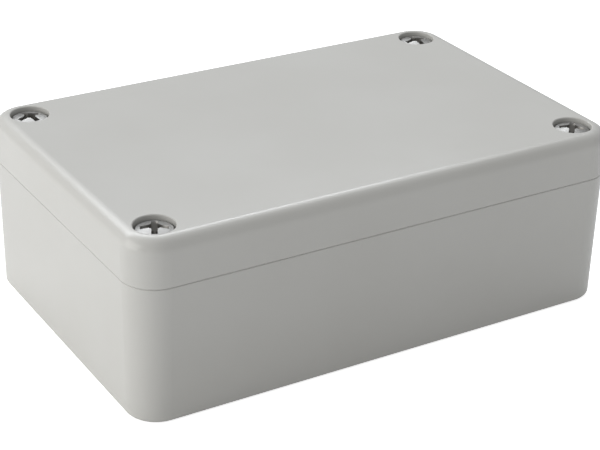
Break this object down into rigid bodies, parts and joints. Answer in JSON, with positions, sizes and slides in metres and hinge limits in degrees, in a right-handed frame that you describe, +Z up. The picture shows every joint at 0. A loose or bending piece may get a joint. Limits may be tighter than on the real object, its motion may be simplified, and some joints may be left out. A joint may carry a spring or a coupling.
{
  "type": "sealed plastic project box",
  "caption": "Small rectangular sealed project box: light grey moulded base, shallow screw-down lid with recessed corner screws, gasket and brass inserts.",
  "frame": {"origin": "centre of the underside", "axes": "+X along the length, +Y across towards the rear, +Z up through the lid"},
  "size_m": [0.105, 0.068, 0.0366],
  "materials": {
    "case_grey": "fine satin moulded light grey",
    "gasket_rubber": "black foamed rubber cord",
    "screw_steel": "bright nickel plate",
    "insert_brass": "turned"
  },
  "bodies": {
    "base": {"base": "case_grey", "insert_front_left": "insert_brass", "insert_front_right": "insert_brass", "insert_rear_left": "insert_brass", "insert_rear_right": "insert_brass"},
    "lid": {"lid": "case_grey", "gasket": "gasket_rubber"},
    "screw_front_left": {"lid_screw_front_left": "screw_steel"},
    "screw_front_right": {"lid_screw_front_right": "screw_steel"},
    "screw_rear_left": {"lid_screw_rear_left": "screw_steel"},
    "screw_rear_right": {"lid_screw_rear_right": "screw_steel"}
  },
  "joints": [
    {"name": "lid_lift_off", "type": "slide", "parent": "base", "child": "lid", "axis": [0, 0, 1], "range_m": [0, 0.08]},
    {"name": "screw_front_left_out", "type": "slide", "parent": "lid", "child": "screw_front_left", "axis": [0, 0, 1], "range_m": [0, 0.008]},
    {"name": "screw_front_right_out", "type": "slide", "parent": "lid", "child": "screw_front_right", "axis": [0, 0, 1], "range_m": [0, 0.008]},
    {"name": "screw_rear_left_out", "type": "slide", "parent": "lid", "child": "screw_rear_left", "axis": [0, 0, 1], "range_m": [0, 0.008]},
    {"name": "screw_rear_right_out", "type": "slide", "parent": "lid", "child": "screw_rear_right", "axis": [0, 0, 1], "range_m": [0, 0.008]}
  ]
}
